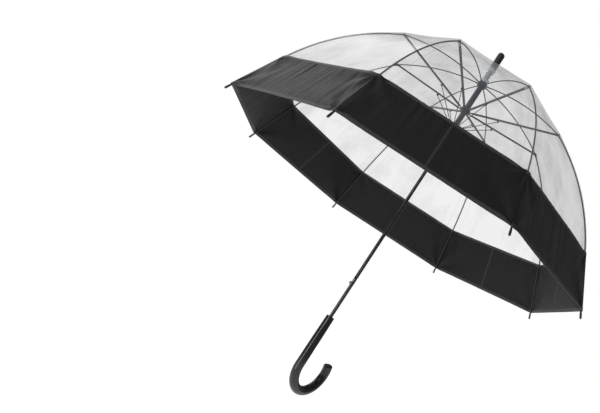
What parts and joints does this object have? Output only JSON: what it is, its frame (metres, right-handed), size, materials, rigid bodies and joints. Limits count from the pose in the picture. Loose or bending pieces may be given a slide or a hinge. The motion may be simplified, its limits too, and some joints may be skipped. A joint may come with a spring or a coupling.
{
  "type": "stick umbrella",
  "caption": "Clear dome stick umbrella with a dark border, J-hook handle, folding rib frame on two sprung hubs and a push-button release.",
  "frame": {"origin": "middle of the straight grip of the handle, on the shaft's centre line", "axes": "+Z along the shaft to the ferrule; the hook opens toward +X"},
  "size_m": [0.8148, 0.8148, 0.8373],
  "materials": {
    "clear_film": "clear, glossy, softly hazed",
    "clear_plastic": "clear moulding",
    "dark_border": "black, soft sheen",
    "gloss_black": "glossy black",
    "bright_wire": "bright wire",
    "shaft_black": "black, satin",
    "button_grey": "dark grey",
    "hub_plastic": "dark moulding",
    "frame_steel": "dark slate paint, satin"
  },
  "bodies": {
    "umbrella": {"shaft_tube": "shaft_black", "hook_handle": "gloss_black", "crown": "hub_plastic", "crown_wire": "bright_wire", "stop_sleeve": "hub_plastic", "clear_collar": "clear_plastic", "ferrule_cap": "gloss_black", "film_canopy": "clear_film", "border_canopy": "dark_border", "tie_strap": "dark_border", "latch_pin": "bright_wire"},
    "button": {"release_button": "button_grey"},
    "rocker": {"latch_rocker": "bright_wire"},
    "rib_1": {"rib_upper_1": "frame_steel"},
    "rib_end_1": {"rib_lower_1": "frame_steel", "rib_tip_1": "gloss_black"},
    "strut_1": {"stretcher_1": "frame_steel"},
    "wire_1": {"link_1": "frame_steel"},
    "rib_2": {"rib_upper_2": "frame_steel"},
    "rib_end_2": {"rib_lower_2": "frame_steel", "rib_tip_2": "gloss_black"},
    "strut_2": {"stretcher_2": "frame_steel"},
    "wire_2": {"link_2": "frame_steel"},
    "rib_3": {"rib_upper_3": "frame_steel"},
    "rib_end_3": {"rib_lower_3": "frame_steel", "rib_tip_3": "gloss_black"},
    "strut_3": {"stretcher_3": "frame_steel"},
    "wire_3": {"link_3": "frame_steel"},
    "rib_4": {"rib_upper_4": "frame_steel"},
    "rib_end_4": {"rib_lower_4": "frame_steel", "rib_tip_4": "gloss_black"},
    "strut_4": {"stretcher_4": "frame_steel"},
    "wire_4": {"link_4": "frame_steel"},
    "rib_5": {"rib_upper_5": "frame_steel"},
    "rib_end_5": {"rib_lower_5": "frame_steel", "rib_tip_5": "gloss_black"},
    "strut_5": {"stretcher_5": "frame_steel"},
    "wire_5": {"link_5": "frame_steel"},
    "rib_6": {"rib_upper_6": "frame_steel"},
    "rib_end_6": {"rib_lower_6": "frame_steel", "rib_tip_6": "gloss_black"},
    "strut_6": {"stretcher_6": "frame_steel"},
    "wire_6": {"link_6": "frame_steel"},
    "rib_7": {"rib_upper_7": "frame_steel"},
    "rib_end_7": {"rib_lower_7": "frame_steel", "rib_tip_7": "gloss_black"},
    "strut_7": {"stretcher_7": "frame_steel"},
    "wire_7": {"link_7": "frame_steel"},
    "rib_8": {"rib_upper_8": "frame_steel"},
    "rib_end_8": {"rib_lower_8": "frame_steel", "rib_tip_8": "gloss_black"},
    "strut_8": {"stretcher_8": "frame_steel"},
    "wire_8": {"link_8": "frame_steel"},
    "runner": {"runner": "hub_plastic", "runner_wire": "bright_wire", "coil_spring": "frame_steel"},
    "lower_hub": {"spring_hub": "hub_plastic"}
  },
  "joints": [
    {"name": "canopy_fold", "type": "hinge", "parent": "umbrella", "child": "rib_1", "pos_m": [0.00879, 0.00195, 0.64], "axis": [-0.2164, 0.9763, 0], "range_deg": [0, 73.49], "stiffness_Nm_per_rad": 2, "springref_deg": -171.89, "deforming": ["film_canopy", "border_canopy", "tie_strap", "coil_spring"]},
    {"name": "rib_fold_2", "type": "hinge", "parent": "umbrella", "child": "rib_2", "pos_m": [0.00484, 0.00759, 0.64], "axis": [-0.8434, 0.5373, 0], "range_deg": [0, 73.49]},
    {"name": "rib_fold_3", "type": "hinge", "parent": "umbrella", "child": "rib_3", "pos_m": [-0.00195, 0.00879, 0.64], "axis": [-0.9763, -0.2164, 0], "range_deg": [0, 73.49]},
    {"name": "rib_fold_4", "type": "hinge", "parent": "umbrella", "child": "rib_4", "pos_m": [-0.00759, 0.00484, 0.64], "axis": [-0.5373, -0.8434, 0], "range_deg": [0, 73.49]},
    {"name": "rib_fold_5", "type": "hinge", "parent": "umbrella", "child": "rib_5", "pos_m": [-0.00879, -0.00195, 0.64], "axis": [0.2164, -0.9763, 0], "range_deg": [0, 73.49]},
    {"name": "rib_fold_6", "type": "hinge", "parent": "umbrella", "child": "rib_6", "pos_m": [-0.00484, -0.00759, 0.64], "axis": [0.8434, -0.5373, 0], "range_deg": [0, 73.49]},
    {"name": "rib_fold_7", "type": "hinge", "parent": "umbrella", "child": "rib_7", "pos_m": [0.00195, -0.00879, 0.64], "axis": [0.9763, 0.2164, 0], "range_deg": [0, 73.49]},
    {"name": "rib_fold_8", "type": "hinge", "parent": "umbrella", "child": "rib_8", "pos_m": [0.00759, -0.00484, 0.64], "axis": [0.5373, 0.8434, 0], "range_deg": [0, 73.49]},
    {"name": "rib_knee_1", "type": "hinge", "parent": "rib_1", "child": "rib_end_1", "pos_m": [0.19819, 0.04394, 0.604], "axis": [-0.2164, 0.9763, 0], "range_deg": [-37.93, 0]},
    {"name": "strut_fold_1", "type": "hinge", "parent": "rib_1", "child": "strut_1", "pos_m": [0.19819, 0.04394, 0.604], "axis": [-0.2164, 0.9763, 0], "range_deg": [-146.99, 0]},
    {"name": "wire_swing_1", "type": "hinge", "parent": "strut_1", "child": "wire_1", "pos_m": [0.07477, 0.01658, 0.57647], "axis": [-0.2164, 0.9763, 0], "range_deg": [0, 27.67]},
    {"name": "rib_knee_2", "type": "hinge", "parent": "rib_2", "child": "rib_end_2", "pos_m": [0.10907, 0.17121, 0.604], "axis": [-0.8434, 0.5373, 0], "range_deg": [-37.93, 0]},
    {"name": "strut_fold_2", "type": "hinge", "parent": "rib_2", "child": "strut_2", "pos_m": [0.10907, 0.17121, 0.604], "axis": [-0.8434, 0.5373, 0], "range_deg": [-146.99, 0]},
    {"name": "wire_swing_2", "type": "hinge", "parent": "strut_2", "child": "wire_2", "pos_m": [0.04115, 0.06459, 0.57647], "axis": [-0.8434, 0.5373, 0], "range_deg": [0, 27.67]},
    {"name": "rib_knee_3", "type": "hinge", "parent": "rib_3", "child": "rib_end_3", "pos_m": [-0.04394, 0.19819, 0.604], "axis": [-0.9763, -0.2164, 0], "range_deg": [-37.93, 0]},
    {"name": "strut_fold_3", "type": "hinge", "parent": "rib_3", "child": "strut_3", "pos_m": [-0.04394, 0.19819, 0.604], "axis": [-0.9763, -0.2164, 0], "range_deg": [-146.99, 0]},
    {"name": "wire_swing_3", "type": "hinge", "parent": "strut_3", "child": "wire_3", "pos_m": [-0.01658, 0.07477, 0.57647], "axis": [-0.9763, -0.2164, 0], "range_deg": [0, 27.67]},
    {"name": "rib_knee_4", "type": "hinge", "parent": "rib_4", "child": "rib_end_4", "pos_m": [-0.17121, 0.10907, 0.604], "axis": [-0.5373, -0.8434, 0], "range_deg": [-37.93, 0]},
    {"name": "strut_fold_4", "type": "hinge", "parent": "rib_4", "child": "strut_4", "pos_m": [-0.17121, 0.10907, 0.604], "axis": [-0.5373, -0.8434, 0], "range_deg": [-146.99, 0]},
    {"name": "wire_swing_4", "type": "hinge", "parent": "strut_4", "child": "wire_4", "pos_m": [-0.06459, 0.04115, 0.57647], "axis": [-0.5373, -0.8434, 0], "range_deg": [0, 27.67]},
    {"name": "rib_knee_5", "type": "hinge", "parent": "rib_5", "child": "rib_end_5", "pos_m": [-0.19819, -0.04394, 0.604], "axis": [0.2164, -0.9763, 0], "range_deg": [-37.93, 0]},
    {"name": "strut_fold_5", "type": "hinge", "parent": "rib_5", "child": "strut_5", "pos_m": [-0.19819, -0.04394, 0.604], "axis": [0.2164, -0.9763, 0], "range_deg": [-146.99, 0]},
    {"name": "wire_swing_5", "type": "hinge", "parent": "strut_5", "child": "wire_5", "pos_m": [-0.07477, -0.01658, 0.57647], "axis": [0.2164, -0.9763, 0], "range_deg": [0, 27.67]},
    {"name": "rib_knee_6", "type": "hinge", "parent": "rib_6", "child": "rib_end_6", "pos_m": [-0.10907, -0.17121, 0.604], "axis": [0.8434, -0.5373, 0], "range_deg": [-37.93, 0]},
    {"name": "strut_fold_6", "type": "hinge", "parent": "rib_6", "child": "strut_6", "pos_m": [-0.10907, -0.17121, 0.604], "axis": [0.8434, -0.5373, 0], "range_deg": [-146.99, 0]},
    {"name": "wire_swing_6", "type": "hinge", "parent": "strut_6", "child": "wire_6", "pos_m": [-0.04115, -0.06459, 0.57647], "axis": [0.8434, -0.5373, 0], "range_deg": [0, 27.67]},
    {"name": "rib_knee_7", "type": "hinge", "parent": "rib_7", "child": "rib_end_7", "pos_m": [0.04394, -0.19819, 0.604], "axis": [0.9763, 0.2164, 0], "range_deg": [-37.93, 0]},
    {"name": "strut_fold_7", "type": "hinge", "parent": "rib_7", "child": "strut_7", "pos_m": [0.04394, -0.19819, 0.604], "axis": [0.9763, 0.2164, 0], "range_deg": [-146.99, 0]},
    {"name": "wire_swing_7", "type": "hinge", "parent": "strut_7", "child": "wire_7", "pos_m": [0.01658, -0.07477, 0.57647], "axis": [0.9763, 0.2164, 0], "range_deg": [0, 27.67]},
    {"name": "rib_knee_8", "type": "hinge", "parent": "rib_8", "child": "rib_end_8", "pos_m": [0.17121, -0.10907, 0.604], "axis": [0.5373, 0.8434, 0], "range_deg": [-37.93, 0]},
    {"name": "strut_fold_8", "type": "hinge", "parent": "rib_8", "child": "strut_8", "pos_m": [0.17121, -0.10907, 0.604], "axis": [0.5373, 0.8434, 0], "range_deg": [-146.99, 0]},
    {"name": "wire_swing_8", "type": "hinge", "parent": "strut_8", "child": "wire_8", "pos_m": [0.06459, -0.04115, 0.57647], "axis": [0.5373, 0.8434, 0], "range_deg": [0, 27.67]},
    {"name": "runner_pivot", "type": "hinge", "parent": "strut_1", "child": "runner", "pos_m": [0.00879, 0.00195, 0.568], "axis": [-0.2164, 0.9763, 0], "range_deg": [0, 73.49]},
    {"name": "hub_close_up", "type": "slide", "parent": "runner", "child": "lower_hub", "axis": [0, 0, 1], "range_m": [0, 0.02803]},
    {"name": "button_press", "type": "slide", "parent": "umbrella", "child": "button", "axis": [1, 0, 0], "range_m": [0, 0.0012], "stiffness_N_per_m": 1500, "springref_m": -0.0006},
    {"name": "latch_rock", "type": "hinge", "parent": "umbrella", "child": "rocker", "pos_m": [-0.00265, 0, 0.136], "axis": [0, 1, 0], "range_deg": [-11.51, 0]}
  ],
  "couplings": [
    {"joint": "rib_fold_2", "follows": "canopy_fold", "ratio": 1},
    {"joint": "rib_fold_3", "follows": "canopy_fold", "ratio": 1},
    {"joint": "rib_fold_4", "follows": "canopy_fold", "ratio": 1},
    {"joint": "rib_fold_5", "follows": "canopy_fold", "ratio": 1},
    {"joint": "rib_fold_6", "follows": "canopy_fold", "ratio": 1},
    {"joint": "rib_fold_7", "follows": "canopy_fold", "ratio": 1},
    {"joint": "rib_fold_8", "follows": "canopy_fold", "ratio": 1},
    {"joint": "rib_knee_1", "follows": "canopy_fold", "ratio": -0.516},
    {"joint": "strut_fold_1", "follows": "canopy_fold", "ratio": -2},
    {"joint": "wire_swing_1", "follows": "canopy_fold", "ratio": 0.37638},
    {"joint": "rib_knee_2", "follows": "canopy_fold", "ratio": -0.516},
    {"joint": "strut_fold_2", "follows": "canopy_fold", "ratio": -2},
    {"joint": "wire_swing_2", "follows": "canopy_fold", "ratio": 0.37638},
    {"joint": "rib_knee_3", "follows": "canopy_fold", "ratio": -0.516},
    {"joint": "strut_fold_3", "follows": "canopy_fold", "ratio": -2},
    {"joint": "wire_swing_3", "follows": "canopy_fold", "ratio": 0.37638},
    {"joint": "rib_knee_4", "follows": "canopy_fold", "ratio": -0.516},
    {"joint": "strut_fold_4", "follows": "canopy_fold", "ratio": -2},
    {"joint": "wire_swing_4", "follows": "canopy_fold", "ratio": 0.37638},
    {"joint": "rib_knee_5", "follows": "canopy_fold", "ratio": -0.516},
    {"joint": "strut_fold_5", "follows": "canopy_fold", "ratio": -2},
    {"joint": "wire_swing_5", "follows": "canopy_fold", "ratio": 0.37638},
    {"joint": "rib_knee_6", "follows": "canopy_fold", "ratio": -0.516},
    {"joint": "strut_fold_6", "follows": "canopy_fold", "ratio": -2},
    {"joint": "wire_swing_6", "follows": "canopy_fold", "ratio": 0.37638},
    {"joint": "rib_knee_7", "follows": "canopy_fold", "ratio": -0.516},
    {"joint": "strut_fold_7", "follows": "canopy_fold", "ratio": -2},
    {"joint": "wire_swing_7", "follows": "canopy_fold", "ratio": 0.37638},
    {"joint": "rib_knee_8", "follows": "canopy_fold", "ratio": -0.516},
    {"joint": "strut_fold_8", "follows": "canopy_fold", "ratio": -2},
    {"joint": "wire_swing_8", "follows": "canopy_fold", "ratio": 0.37638},
    {"joint": "runner_pivot", "follows": "canopy_fold", "ratio": 1},
    {"joint": "hub_close_up", "follows": "canopy_fold", "m_per_rad": 0.021842},
    {"joint": "latch_rock", "follows": "button_press", "rad_per_m": -166.67}
  ]
}
